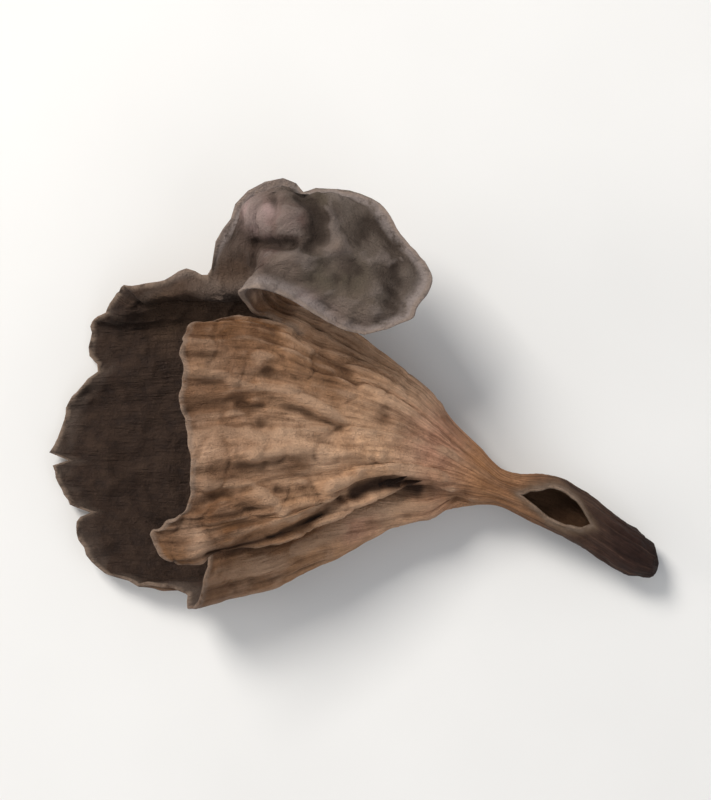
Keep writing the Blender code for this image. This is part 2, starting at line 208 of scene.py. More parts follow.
# The groove of the pleat, its open end by the neck, and the lips on both sides of it
GROOVE = ((22.6, -5.4), (21.5, -5.1), (19.2, -4.4), (17.8, -3.75), (16.3, -2.6))
OPEN_GROOVE = ((15.7, -2.2), (14.8, -1.8), (13.6, -1.7), (12.2, -2.0), (11.3, -2.3), (10.3, -2.7))
PLEAT_FOLDS = (
    (GROOVE, 0.3, -0.4),
    (OPEN_GROOVE, 0.42, -0.6),
    (((19.5, -3.5), (17.6, -2.7), (15.6, -1.4), (13.6, -1.0), (11.8, -1.3), (10.7, -2.1)), 0.34, 0.34),
    (((20.8, -6.1), (17.6, -4.7), (15.6, -3.5), (14.0, -3.0), (12.0, -3.1), (10.4, -3.4)), 0.34, 0.22),
    (((19.9, -5.3), (19.1, -5.2)), 0.16, -0.25),
)
# Pits of the near wall: reach, side, radius and height
NEAR_PITS = (
    (21.1, 2.3, 0.22, -0.24), (19.8, 3.9, 0.26, -0.2), (20.2, 1.1, 0.24, -0.2),
    (14.1, 1.3, 0.3, -0.2), (16.6, 3.9, 0.9, -0.34), (22.3, 3.0, 0.4, -0.16),
)
# The same of the lobe's upper face
LOBE_FOLDS = (
    (((16.7, 10.9), (16.5, 10.3), (16.1, 9.8)), 0.26, 0.24),
    (((16.1, 9.8), (14.9, 9.2), (13.8, 9.4)), 0.22, 0.15),
    (((14.9, 9.2), (14.4, 7.9)), 0.22, 0.13),
    (((18.9, 9.3), (17.6, 9.5), (16.4, 9.8)), 0.28, 0.22),
    (((17.4, 8.9), (16.4, 7.4), (15.9, 6.4)), 0.28, 0.16),
    (((20.5, 10.25), (19.4, 10.1), (18.6, 10.1)), 0.2, -0.8),
    (((18.2, 12.7), (17.5, 11.8), (17.3, 10.8), (17.8, 10.0)), 0.3, -0.48),
    (((19.6, 12.4), (19.4, 11.7), (19.5, 11.1)), 0.14, -0.15),
    (((20.4, 9.1), (18.8, 8.3), (17.5, 8.3)), 0.2, -0.14),
    (((14.9, 11.3), (13.9, 10.6), (13.5, 9.3), (13.4, 8.2), (13.9, 7.3)), 0.24, -0.22),
)
LOBE_PITS = (
    (20.25, 11.6, 0.48, 0.55), (18.8, 11.4, 0.36, 0.3), (16.3, 8.2, 0.75, -0.26),
    (15.0, 10.8, 0.5, -0.2), (13.9, 8.7, 0.4, -0.26), (16.4, 9.3, 0.45, 0.22),
)
LOBE_ROLL = 0.45  # how far the lobe's edge is rolled up
ROLL_OVER = 0.7  # and over which length
LOBE_VEINS = 0.13
# The pale rolled edge of the far wall beside the lobe: reach and side of points along it
PALE_ROLL = ((25.7, 8.0), (23.9, 8.3), (22.2, 8.2), (20.6, 8.4))
PALE_ROLL_WIDTH = 0.35
PALE_ROLL_HEIGHT = 0.3
PALE_ROLL_FROM = (18.5, 20.5)  # reach over which it begins and ends
PALE_ROLL_TO = (22.0, 25.0)
CREST_REACH = 5  # grid steps on both sides that a crest stands out from

# Stains, and patches of painted light and painted shade: reach, side and radius of each
# Brown patches of the near wall, partly its own colour and partly painted shadow at its upper corner under
# the lobe
UMBER_AND_SHADOW = (
    (16.7, 3.9, 1.3), (21.0, 2.3, 0.5), (22.4, 5.8, 1.2), (20.0, 6.2, 0.8), (22.7, -3.0, 0.5),
    (14.1, 1.3, 0.5), (21.3, -4.2, 0.7), (18.6, -0.8, 0.5),
)
# Painted shade on the lobe's face: in its creases, in the hollow under its knob, and a dark patch beside
# the knob where there is only shadow
LOBE_SHADE = (
    (17.2, 11.4, 0.6), (17.6, 11.9, 0.5), (17.5, 10.5, 0.6), (13.7, 8.9, 0.42), (13.8, 8.0, 0.3),
    (16.7, 11.8, 0.4), (22.2, 10.8, 0.8), (19.8, 10.1, 0.5), (18.7, 10.1, 0.5),
)
OLIVE = ((17.2, 8.2, 0.7), (15.8, 7.9, 0.9), (15.9, 6.6, 0.8), (17.2, 12.9, 0.6))
ROSY = (
    (15.5, -4.2, 0.8), (8.4, -2.8, 0.7), (11.5, 0.2, 1.1), (20.1, 11.6, 0.8), (20.5, 9.8, 0.8),
    (18.8, 11.4, 0.5),
)
# Paler patches, partly the flesh's own colour and partly painted light: along the fan's upper edge where
# the lobe's shadow falls, on faces turned from the key lamp, and a painted highlight on the knob
BRIGHT_AND_PAINTED_LIGHT = (
    (18.4, 0.2, 1.8), (20.6, -6.4, 0.7), (13.4, 1.6, 2.0), (20.2, 11.5, 0.5), (15.6, -3.7, 0.9),
    (14.1, -3.2, 0.9), (17.2, -0.4, 1.0), (12.8, -0.8, 0.8), (8.0, -2.2, 0.9), (23.2, -0.4, 0.7),
    (23.2, -4.4, 0.5), (18.0, 6.2, 0.7), (17.0, 5.6, 0.8), (16.0, 5.0, 0.8), (15.0, 4.4, 0.7),
    (22.6, 4.6, 0.6),
)
# Pale patches of the lobe's face, partly painted light in its shaded folds
PALE_AND_PAINTED_LIGHT = ((15.9, 6.7, 0.65), (16.4, 9.5, 0.45), (18.9, 9.0, 0.5))
# Painted light inside the funnel, where the lobe's shadow falls
THROAT_LIGHT = ((21.8, 7.2, 1.3), (20.0, 6.0, 1.5), (25.2, 6.9, 0.8), (23.6, 7.0, 1.0))
# Painted shade along the darkest part of the pleat's groove: reach and side of points along it
GROOVE_SHADE = ((15.5, -2.3), (14.8, -2.0), (14.0, -1.85), (13.2, -1.85), (12.3, -2.2))
# What the material needs to know at each point
FIELDS = (
    "along", "to_edge", "relief", "crest", "turned", "umber", "dusky", "olive", "rosy", "bright",
    "pale", "throat", "curled", "groove",
)

# The outside's colour along the wall, from the foot to BODY_LENGTH: place and colour
BODY_LENGTH = 30.0
BODY_COLOURS = (
    (0.0, (0.038, 0.017, 0.012)), (0.06, (0.048, 0.022, 0.016)), (0.15, (0.115, 0.065, 0.043)),
    (0.25, (0.45, 0.228, 0.112)), (0.31, (0.48, 0.235, 0.11)), (0.38, (0.5, 0.275, 0.165)),
    (0.48, (0.53, 0.298, 0.162)), (0.62, (0.345, 0.182, 0.092)), (0.72, (0.235, 0.122, 0.064)),
    (0.8, (0.165, 0.086, 0.046)), (1.0, (0.11, 0.058, 0.033)),
)
# The funnel's inside and the lobe's upper face, from their dark to their pale patches
FELT_COLOURS = ((0.25, (0.018, 0.009, 0.006)), (0.5, (0.034, 0.018, 0.011)), (0.75, (0.054, 0.031, 0.02)))
LOBE_COLOURS = ((0.3, (0.066, 0.047, 0.036)), (0.5, (0.098, 0.073, 0.057)), (0.7, (0.13, 0.101, 0.082)))
# Stains, painted light and painted shade over the outside and over the lobe's upper face: where they are,
# how strong, and their colour
OUTSIDE_STAINS_AND_LIGHT = (
    ("bright", 0.6, (0.64, 0.42, 0.28)),
    ("umber", 0.75, (0.13, 0.055, 0.02)),
    ("rosy", 0.5, (0.42, 0.185, 0.125)),
    ("curled", 0.75, (0.12, 0.08, 0.062)),
)
LOBE_STAINS_AND_LIGHT = (
    ("olive", 0.75, (0.08, 0.062, 0.04)),
    ("dusky", 0.85, (0.026, 0.015, 0.01)),
    ("rosy", 0.6, (0.18, 0.105, 0.09)),
    ("bright", 1.0, (0.39, 0.275, 0.258)),
)
# Tones that darken and lighten a colour
STREAK_TONES = ((0.28, (0.36, 0.3, 0.25)), (0.52, (1.0, 1.0, 1.0)), (0.75, (1.3, 1.3, 1.3)))
MOTTLE_TONES = ((0.3, (0.5, 0.43, 0.36)), (0.55, (1.0, 1.0, 1.0)), (0.8, (1.25, 1.2, 1.15)))
FIBRE_TONES = ((0.34, (0.72, 0.68, 0.63)), (0.5, (1.12, 1.12, 1.12)), (0.66, (1.3, 1.3, 1.3)))
GRAIN_TONES = ((0.3, (0.6, 0.6, 0.6)), (0.6, (1.1, 1.1, 1.1)))
BOARD_COLOURS = ((0.3, (0.74, 0.73, 0.71)), (0.7, (0.78, 0.77, 0.75)))
BUMP_HEIGHT = 0.00025  # in metres

# Square soft lights that look at the object: name, place and size in metres, watts and colour
LIGHTS = (
    ("key", (-0.12, 0.15, 0.2), 0.1, 0.7, (1.0, 0.97, 0.93)),
    ("fill", (0.18, -0.14, 0.16), 0.25, 0.2, (0.93, 0.96, 1.0)),
    ("mouth", (-0.2, 0.02, 0.07), 0.1, 0.14, (1.0, 0.95, 0.9)),
)
SKY_COLOUR = (0.92, 0.95, 1.0, 1.0)
SKY_STRENGTH = 0.42

# The camera's lens and sensor in millimetres, and the height that it sees in metres
LENS = 120.0
SENSOR = 36.0
FRAME_HEIGHT = 0.0405


def smoothstep(low, high, value):
    """0 below low, 1 above high, and a smooth step between them."""
    share = np.clip((value - low) / (high - low), 0.0, 1.0)
    return share * share * (3.0 - 2.0 * share)


def bump(distance, width):
    """A smooth hump, 1 high and about twice the width wide."""
    return np.exp(-0.5 * (distance / width) ** 2)


def wedge(distance, width):
    """1 in the middle, falling straight to 0 at the width."""
    return np.maximum(0.0, 1.0 - np.abs(distance) / width)


def turn_between(angle, other):
    """The signed turn from one angle to another, in degrees."""
    return (angle - other + 180.0) % 360.0 - 180.0


def curve_through(knots, values, at):
    """A smooth curve through the knots that doesn't overshoot them."""
    knots = np.asarray(knots, float)
    values = np.asarray(values, float)
    steps = np.diff(knots)
    slopes = np.diff(values) / steps
    tangents = np.zeros_like(values)
    same_way = slopes[:-1] * slopes[1:] > 0
    mean = 2.0 * slopes[:-1] * slopes[1:] / np.where(same_way, slopes[:-1] + slopes[1:], 1.0)
    tangents[1:-1] = np.where(same_way, mean, 0.0)
    tangents[0] = slopes[0]
    tangents[-1] = slopes[-1]
    span = np.clip(np.searchsorted(knots, at, side="right") - 1, 0, len(steps) - 1)
    step = steps[span]
    share = (at - knots[span]) / step
    rest = 1.0 - share
    ends = values[span] * (1.0 + 2.0 * share) * rest**2
    ends += values[span + 1] * (3.0 - 2.0 * share) * share**2
    return ends + step * share * rest * (tangents[span] * rest - tangents[span + 1] * share)


def section(reach, column):
    """One column of SECTIONS at each reach."""
    table = np.array(SECTIONS)
    return curve_through(table[:, 0], table[:, column], reach)


def lip(angle, column):
    """One column of LIP at each angle."""
    table = np.array(LIP)
    return curve_through(table[:, 0], table[:, column], TEAR_ANGLE + (angle - TEAR_ANGLE) % 360.0)


def half_width(reach, angle):
    """The half-width of the body at a reach, with the ribs and the pleat."""
    near_neck = 1.0 - smoothstep(*NECK_TO, reach)
    angle = angle + LEAN * near_neck * bump(turn_between(angle, PLEAT_ANGLE), LEAN_WIDTH)
    shape = np.ones_like(reach + angle)
    for rib_angle, width, height in RIBS:
        shape += height * smoothstep(*FUNNEL_FROM, reach) * bump(turn_between(angle, rib_angle), width)
    pleat = bump(turn_between(angle, PLEAT_ANGLE), PLEAT_WIDTH * (1.0 + PLEAT_SPREAD * near_neck))
    shape -= PLEAT_DEPTH * smoothstep(*PLEAT_FROM, reach) * pleat
    return section(reach, 1) * shape


def girth_angles(seam):
    """The column angles once around from the seam, closer together where DENSE says."""
    angles = np.linspace(seam, seam + 360.0, 1441)
    density = np.ones_like(angles)
    for centre, width, extra in DENSE:
        density += extra * bump(turn_between(angles, centre), width)
    total = np.concatenate([[0.0], np.cumsum(0.5 * (density[1:] + density[:-1]))])
    return np.interp(np.linspace(0.0, total[-1], COLUMNS + 1), total, angles)


def seam_gap(reach):
    """Half the width of the gap between the sheet's two sides, in degrees: the split and the tear."""
    along_split = np.clip((reach - SPLIT_REACH) / (0.5 * SPLIT_LENGTH), -1.0, 1.0)
    split = SPLIT_WIDTH * (1.0 - along_split**2) * (1.0 - SPLIT_TAPER * along_split)
    tear = TEAR_WIDTH * smoothstep(TEAR_FROM, TEAR_REACH, reach)
    return np.degrees(0.5 * (split / section(SPLIT_REACH, 1) + tear / section(TEAR_REACH, 1)))


def column_angles(column, reach):
    """The angle of each column at the reach that its row has beside the seam."""
    turned = smoothstep(*SEAM_TURNS, reach)
    seam = SPLIT_ANGLE + (TEAR_ANGLE - SPLIT_ANGLE) * turned
    on_stem = girth_angles(SPLIT_ANGLE)[column]
    angle = on_stem + (girth_angles(TEAR_ANGLE)[column] - on_stem) * turned
    return angle + seam_gap(reach) * (seam + 180.0 - angle) / 180.0


def jagged_sides(column, reach):
    """How far the torn sides of the sheet waver at each point, in degrees."""
    from_first = girth_angles(SPLIT_ANGLE)[column] - SPLIT_ANGLE
    along_side = JAGS * reach
    level = np.zeros_like(along_side)
    first = perlin(np.stack([along_side, level + 0.3, level], axis=-1), 81)
    last = perlin(np.stack([along_side, level + 7.3, level], axis=-1), 82)
    waver = first * bump(from_first, 14.0) - last * bump(360.0 - from_first, 14.0)
    open_here = smoothstep(0.0, 1.5, seam_gap(reach))
    return np.degrees(JAGGED / section(reach, 1)) * open_here * waver


def ruffle(angle):
    """The waves of the funnel's edge, once around."""
    wave = np.zeros_like(angle)
    for count, phase, share in RUFFLE_WAVES:
        wave += share * np.sin(np.radians(count * angle + phase))
    return RUFFLE * wave


def perlin(points, seed):
    """Smooth noise from about -1 to 1, with about one bump for each unit."""
    rng = np.random.default_rng(seed)
    shuffled = rng.permutation(256)
    slopes = rng.normal(size=(256, 3))
    slopes /= np.linalg.norm(slopes, axis=1, keepdims=True)
    cell = np.floor(points).astype(int)
    inside = points - cell
    ease = inside**3 * (inside * (inside * 6.0 - 15.0) + 10.0)
    total = np.zeros(points.shape[:-1])
    for corner in itertools.product((0, 1), repeat=3):
        at = (cell + corner) & 255
        pick = shuffled[(shuffled[(shuffled[at[..., 0]] + at[..., 1]) & 255] + at[..., 2]) & 255]
        weight = np.prod(np.where(np.array(corner) == 1, ease, 1.0 - ease), axis=-1)
        total += weight * np.sum(slopes[pick] * (inside - corner), axis=-1)
    return 1.6 * total


def on_girth(angle, along, around, per_mm):
    """Places for noise with so many bumps once around and for each millimetre along the wall."""
    radius = around / (2.0 * math.pi)
    turn = np.radians(angle)
    return np.stack([radius * np.cos(turn), radius * np.sin(turn), per_mm * along + 0.0 * angle], axis=-1)


def crumpled(points, layers):
    """Noise in layers of a height, a size of bump and a seed each."""
    return sum(height * perlin(points / size, seed) for height, size, seed in layers)


def drawn_out(angle, along, layers):
    """The same drawn out along the wall."""
    total = 0.0
    for height, around, per_mm, seed in layers:
        total = total + height * perlin(on_girth(angle, along, around, per_mm), seed)
    return total


def ragged_edge(angle):
    """How much the edge is eaten in or sticks out at each angle."""
    edge = drawn_out(angle, 0.0, RAGGED)
    for at_angle, width, depth in NOTCHES:
        edge = edge - depth * wedge(turn_between(angle, at_angle), width)
    for at_angle, width, length in EDGE_FORM:
        edge = edge + length * bump(turn_between(angle, at_angle), width)
    return edge


def row_length(angle, share, body, whole):
    """How far along the funnel's wall a row is.

    Up to the tear's bottom it is as far along on both sides of the tear. From there the rows of
    the near wall are even, and most of the lobe's are on its curl.
    """
    from_lobe = turn_between(angle, LOBE_ANGLE)
    near = from_lobe >= TEAR_ANGLE - LOBE_ANGLE
    settled = np.where(near, smoothstep(*NEAR_ROWS, from_lobe), smoothstep(*FAR_ROWS, -from_lobe))
    to_tear = TEAR_FROM - STEM_REACH
    first = np.where(near, BODY_SHARE[0] * to_tear / (TEAR_REACH - STEM_REACH), BODY_SHARE[0])
    knot = np.where(near, to_tear + (body - to_tear) * settled, body)
    at_knot = first + (BODY_SHARE[1] - first) * settled
    after = np.maximum(share - at_knot, 0.0) / (1.0 - at_knot)
    return knot * np.minimum(share / at_knot, 1.0) + (whole - knot) * after


def along_wall(angle, stem_reach, share, fine):
    """Follow the wall up the stem, along the funnel, round the curl of its lip and straight on.

    Gives the reach, the way out from the middle line, the reach on that line, the heading (0 is
    towards the mouth), and the lengths past the curl, from the foot and left to the edge.
    """
    start_reach = lip(angle, 1)
    radius = lip(angle, 2)
    turn = np.radians(lip(angle, 3))
    curl = radius * np.abs(turn)
    body = start_reach - STEM_REACH
    whole = body + curl + lip(angle, 4)
    if fine:
        whole = whole + ragged_edge(angle)
    beyond = row_length(angle, share, body, whole)
    on_curl = np.clip(beyond - body, 0.0, curl)
    past = np.maximum(beyond - body - curl, 0.0)

    reach = stem_reach + np.minimum(beyond, body)
    out = half_width(reach, angle) + ruffle(angle) * smoothstep(*RUFFLE_FROM, reach)
    slope = half_width(start_reach + 0.5, angle) - half_width(start_reach - 0.5, angle)
    start = np.arctan(slope)
    way = np.sign(turn)
    heading = start + way * on_curl / radius
    reach = reach + way * radius * (np.sin(heading) - np.sin(start)) + past * np.cos(heading)
    out = out + way * radius * (np.cos(start) - np.cos(heading)) + past * np.sin(heading)
    middle = np.where(beyond > body, np.maximum(reach, start_reach), reach)
    return reach, out, middle, heading, past, stem_reach + beyond, whole - beyond


def place(middle, out, angle):
    """Side and height of a point."""
    flat = section(middle, 2) / section(middle, 1)
    across = np.cos(np.radians(angle))
    up = np.sin(np.radians(angle))
    side = section(middle, 3) + out * np.sign(across) * np.abs(across) ** BOXINESS
    height = section(middle, 4) + out * flat * np.sign(up) * np.abs(up) ** BOXINESS
    return side, height


def lobe_dent(reach, side, heading):
    """How far the knob and the hollow move the lobe's fold out or in."""
    folded = smoothstep(0.4 * math.pi, 0.8 * math.pi, heading)
    dent = np.zeros_like(reach)
    for at_reach, at_side, width, rise in (KNOB, HOLLOW):
        dent += rise * folded * bump(np.hypot(reach - at_reach, side - at_side), width)
    return dent


def press_on_ground(reach, side, height):
    """The height of the wall once its underside is pressed flat, all but the wrinkles it lies on."""
    lowest = 0.5 * WALL
    height = lowest + np.logaddexp(0.0, (height - lowest) / GROUND_PRESS) * GROUND_PRESS
    underside = 1.0 - smoothstep(*REST_BELOW, height)
    for at_reach, at_side in REST_POINTS:
        near = bump(np.hypot(reach - at_reach, side - at_side), REST_WIDTH)
        height = height - REST_DEPTH * underside * near
    return height


class Sheet:
    """The middle of the wall as a grid of points, and what is known at each of them."""

    def __init__(self, fine):
        row = np.arange(STEM_ROWS + FUNNEL_ROWS + 1)[:, None]
        column = np.arange(COLUMNS + 1)[None, :]
        stem_reach = STEM_REACH * np.minimum(row / STEM_ROWS, 1.0) ** STEM_CROWDING
        share = np.maximum(row - STEM_ROWS, 0) / FUNNEL_ROWS
        beside_seam = stem_reach + (TEAR_REACH - STEM_REACH) * np.minimum(share / BODY_SHARE[0], 1.0)
        angle = column_angles(column, beside_seam)
        if fine:
            angle = angle + jagged_sides(column, beside_seam)
        found = along_wall(angle, stem_reach, share, fine)
        reach, out, middle, heading, past, self.along, to_mouth = found
        self.angle = angle
        self.heading = heading
        self.parted = seam_gap(beside_seam[:, 0]) > 0.0
        self.number = self.numbers(self.parted)

        along_lobe = past / LOBE_LENGTH
        spread = LOBE_SPREAD * smoothstep(0.0, SPREAD_OVER, past)
        angle = angle + spread * smoothstep(*SPREAD_FROM, turn_between(angle, 0.0))
        side, height = place(middle, out, angle)
        dent = lobe_dent(reach, side, heading)
        side, height = place(middle, out - dent * np.cos(heading), angle)
        reach = reach + dent * np.sin(heading)
        lift = LOBE_LIFT * smoothstep(0.0, math.pi, heading) + LOBE_CUP * along_lobe**2
        height += lift * bump(turn_between(angle, LOBE_ANGLE), LOBE_WIDTH)
        height = press_on_ground(reach, side, height)
        self.points = np.stack([-reach, side, height], axis=-1)
        self.points[0] = self.points[0].mean(axis=0)
        self.to_edge = np.minimum(to_mouth, self.to_sides(beside_seam))

    @property
    def reach(self):
        return -self.points[..., 0]

    @property
    def side(self):
        return self.points[..., 1]

    @staticmethod
    def numbers(parted):
        """A number for each point: one for the foot, and one where the sides aren't parted."""
        number = np.arange(len(parted) * (COLUMNS + 1)).reshape(len(parted), COLUMNS + 1)
        number[~parted, COLUMNS] = number[~parted, 0]
        number[0] = 0
        return np.unique(number, return_inverse=True)[1].reshape(number.shape)

    def to_sides(self, beside_seam):
        """The way along the sheet to the edge of the split or of the tear."""
        steps = np.linalg.norm(np.diff(self.points, axis=1), axis=2)
        lateral = np.concatenate([np.zeros((len(steps), 1)), np.cumsum(steps, axis=1)], axis=1)
        lateral = np.minimum(lateral, lateral[:, -1:] - lateral)
        before_split = np.abs(beside_seam - SPLIT_REACH) - 0.5 * SPLIT_LENGTH
        before = np.maximum(np.minimum(before_split, TEAR_FROM - beside_seam), 0.0)
        return np.hypot(lateral, before)

    def quads(self):
        """The four corners of each face, wound so that it faces out of the funnel."""
        number = self.number
        corners = [number[:-1, :-1], number[1:, :-1], number[1:, 1:], number[:-1, 1:]]
        return np.stack(corners, axis=-1).reshape(-1, 4)

    def normals(self):
        """Where the outer face looks at each point."""
        flat = self.flat(self.points)
        quads = self.quads()
        across = np.cross(flat[quads[:, 2]] - flat[quads[:, 0]], flat[quads[:, 3]] - flat[quads[:, 1]])
        total = np.zeros_like(flat)
        for corner in range(4):
            np.add.at(total, quads[:, corner], across)
        total /= np.linalg.norm(total, axis=1, keepdims=True)
        return total[self.number]

    def flat(self, values):
        """Values of the grid as one row for each numbered point."""
        listed = np.zeros((self.number.max() + 1,) + values.shape[2:])
        listed[self.number.ravel()] = values.reshape((-1,) + values.shape[2:])
        return listed


def line_distance(sheet, line):
    """How far each point is from a line, seen from above."""
    nearest = np.full(sheet.side.shape, np.inf)
    for (from_reach, from_side), (to_reach, to_side) in zip(line, line[1:]):
        run_reach = to_reach - from_reach
        run_side = to_side - from_side
        past_reach = sheet.reach - from_reach
        past_side = sheet.side - from_side
        share = past_reach * run_reach + past_side * run_side
        share = np.clip(share / (run_reach**2 + run_side**2), 0.0, 1.0)
        gap = np.hypot(past_reach - share * run_reach, past_side - share * run_side)
        nearest = np.minimum(nearest, gap)
    return nearest


def folds_and_pits(sheet, folds, pits, seed):
    """The relief of listed folds and pits, with lines that waver and heights that vary."""
    waver = 0.13 * perlin(sheet.points / 1.3, seed)
    varied = 1.0 + 0.3 * perlin(sheet.points / 1.4, seed + 100)
    relief = np.zeros_like(waver)
    for line, width, height in folds:
        relief += height * bump(line_distance(sheet, line) + waver, width)
    for at_reach, at_side, radius, height in pits:
        gap = np.hypot(sheet.reach - at_reach, sheet.side - at_side)
        relief += height * bump(gap + waver, radius)
    return relief * varied


def stain_or_painted_light(sheet, spots, seed):
    """How strong a patch is at each point, from its soft and uneven spots: stained patches, painted light
    and painted shade alike.
    """
    reach = sheet.reach + 0.5 * perlin(sheet.points / 0.9, seed)
    side = sheet.side + 0.5 * perlin(sheet.points / 0.9, seed + 1)
    total = np.zeros_like(reach)
    for at_reach, at_side, radius in spots:
        total = np.maximum(total, bump(np.hypot(reach - at_reach, side - at_side), radius))
    return total


def crest(relief):
    """How far a point stands out from, or lies below, the skin around it."""
    steps = range(-CREST_REACH, CREST_REACH + 1)
    padded = np.pad(relief, ((CREST_REACH, CREST_REACH), (0, 0)), mode="edge")
    rows = sum(padded[CREST_REACH + step:CREST_REACH + step + len(relief)] for step in steps) / len(steps)
    around = sum(np.roll(rows[:, :-1], step, axis=1) for step in steps) / len(steps)
    return relief - np.concatenate([around, around[:, :1]], axis=1)


def forked_ribs(sheet):
    """Rounded ribs with sharp grooves between them, which fork towards the mouth."""
    angle = sheet.angle
    along = sheet.along
    wander = drawn_out(angle, along, RIB_WANDER)
    relief = np.zeros_like(along)
    for level, (count, start, height) in enumerate(RIB_LEVELS):
        late = 2.5 * perlin(on_girth(angle, along, 0.5 * count, 0.05), 20 + level)
        grown = smoothstep(start, start + 3.0, along + late)
        strong = smoothstep(-0.6, 0.5, perlin(on_girth(angle, along, 0.4 * count, 0.25), 30 + level))
        fold = np.abs(np.sin(np.radians(0.5 * count * (angle + wander) + 37.0 * level)))
        relief += height * grown * (0.35 + 0.65 * strong) * (fold - 0.64)
    return relief


def near_wall(sheet, turned):
    """1 on the near wall, fading out at its sides, at the neck and where it is turned back."""
    near = smoothstep(*NEAR_FROM, sheet.angle) * (1.0 - smoothstep(*NEAR_TO, sheet.angle))
    near = near + smoothstep(*NEAR_FROM, sheet.angle - 360.0)
    return near * (1.0 - turned) * smoothstep(*NEAR_PAST_NECK, sheet.along)


def wall_crumples(sheet):
    """The crumples and creases of the wall, which grow towards the mouth."""
    relief = crumpled(sheet.points, MOUTH_CRUMPLES) + drawn_out(sheet.angle, sheet.along, LONG_CRUMPLES)
    relief -= CREASE_DEPTH * wedge(perlin(sheet.points / 2.1, 47), 0.10)
    return relief * smoothstep(*CRUMPLES_FROM, sheet.along) + crumpled(sheet.points, CRUMPLES)


def lobe_relief(sheet):
    """The folds, pits and veins of the lobe's upper face, and its rolled edge."""
    veins = wedge(perlin(sheet.points / 1.9, 44), 0.16)
    veins += 0.5 * wedge(perlin(sheet.points / 0.8, 48), 0.2)
    relief = folds_and_pits(sheet, LOBE_FOLDS, LOBE_PITS, 45) + LOBE_VEINS * (veins - 0.4)
    return relief + LOBE_ROLL * wedge(sheet.to_edge, ROLL_OVER) ** 2


def stem_relief(sheet):
    """The shrivelled stem and its broken foot."""
    on_stem = 1.0 - smoothstep(*STEM_TO, sheet.along)
    foot = 1.0 - smoothstep(*FOOT_TO, sheet.along)
    dried = drawn_out(sheet.angle, sheet.along, STEM_CRUMPLES)
    return on_stem * dried + foot * crumpled(sheet.points, FOOT_CRUMPLES)


def pale_roll(sheet, near):
    """1 on the pale roll of the far wall's edge, fading out at its ends."""
    waver = 0.2 * perlin(sheet.points / 0.9, 71)
    roll = bump(line_distance(sheet, PALE_ROLL) + waver, PALE_ROLL_WIDTH)
    roll *= smoothstep(*PALE_ROLL_FROM, sheet.reach) * (1.0 - smoothstep(*PALE_ROLL_TO, sheet.reach))
    return roll * (1.0 - near)


def add_stains_and_painted_light(sheet, near, turned, roll):
    """Remember how strong each stained patch, patch of painted light and patch of painted shade is at each
    point.
    """
    uppermost = np.maximum(near, turned)
    sheet.umber = stain_or_painted_light(sheet, UMBER_AND_SHADOW, 61) * near
    sheet.rosy = stain_or_painted_light(sheet, ROSY, 63) * uppermost
    sheet.bright = stain_or_painted_light(sheet, BRIGHT_AND_PAINTED_LIGHT, 65) * uppermost
    sheet.dusky = stain_or_painted_light(sheet, LOBE_SHADE, 67) * turned
    sheet.olive = stain_or_painted_light(sheet, OLIVE, 69) * turned
    sheet.pale = np.maximum(roll, stain_or_painted_light(sheet, PALE_AND_PAINTED_LIGHT, 73) * turned)
    sheet.throat = stain_or_painted_light(sheet, THROAT_LIGHT, 75)
    # Painted shade along the pleat's groove: strong in its open part by the neck, fainter along the rest
    off_line = line_distance(sheet, GROOVE_SHADE) + 0.10 * perlin(sheet.points / 0.7, 77)
    open_shade = 1.0 - smoothstep(0.10, 0.55, off_line)
    closed_shade = 0.50 * bump(line_distance(sheet, GROOVE), 0.20)
    sheet.groove = near * np.maximum(open_shade, closed_shade)
    curled = smoothstep(0.1 * math.pi, 0.5 * math.pi, sheet.heading)
    sheet.curled = curled * (1.0 - 0.8 * sheet.bright)


def wrinkle(sheet):
    """Move the sheet out and in along its normals, and remember the relief on its outer face."""
    turned = smoothstep(*TURNED_FROM, sheet.heading)
    near = near_wall(sheet, turned)
    pleat = bump(turn_between(sheet.angle, PLEAT_ANGLE), 7.0) * smoothstep(9.0, 12.0, sheet.along)
    calm = 1.0 - 0.6 * pleat
    roll = pale_roll(sheet, near)

    relief = (forked_ribs(sheet) * (1.0 - 0.45 * turned) + wall_crumples(sheet)) * calm
    relief += near * folds_and_pits(sheet, NEAR_FOLDS, NEAR_PITS, 46)
    relief += near * folds_and_pits(sheet, PLEAT_FOLDS, (), 49)
    relief += stem_relief(sheet) - turned * lobe_relief(sheet) - PALE_ROLL_HEIGHT * roll
    sheet.relief = relief
    sheet.crest = crest(relief)
    sheet.turned = turned
    add_stains_and_painted_light(sheet, near, turned, roll)
    sheet.facing = sheet.normals()
    sheet.points = sheet.points + relief[..., None] * sheet.facing


def thickness(sheet):
    """The flesh thins towards its edge."""
    share = smoothstep(0.0, THIN_OVER, sheet.to_edge)
    uneven = 1.0 + 0.15 * perlin(sheet.points / 1.1, 51)
    return (EDGE_WALL + (WALL - EDGE_WALL) * share) * uneven


def open_rims(sheet):
    """Grid places round the mouth and the tear, and round the split, and the places inward of each."""
    last = STEM_ROWS + FUNNEL_ROWS
    torn = [row for row in range(STEM_ROWS, last) if sheet.parted[row]]
    down = torn[::-1]
    mouth = [(last, column) for column in range(COLUMNS + 1)]
    mouth += [(row, COLUMNS) for row in down] + [(torn[0] - 1, 0)] + [(row, 0) for row in torn]
    inward = [(last - 1, min(max(column, 1), COLUMNS - 1)) for column in range(COLUMNS + 1)]
    inward += [(row, COLUMNS - 1) for row in down] + [(torn[0] - 2, 0)] + [(row, 1) for row in torn]
    split = [row for row in range(1, STEM_ROWS) if sheet.parted[row]]
    first, final = split[0], split[-1]
    stem = [(first - 1, 0)] + [(row, 0) for row in split] + [(final + 1, 0)]
    stem += [(row, COLUMNS) for row in reversed(split)]
    away = [(first - 2, 0)] + [(row, 1) for row in split] + [(final + 2, 0)]
    away += [(row, COLUMNS - 1) for row in reversed(split)]
    return ((mouth, inward), (stem, away))


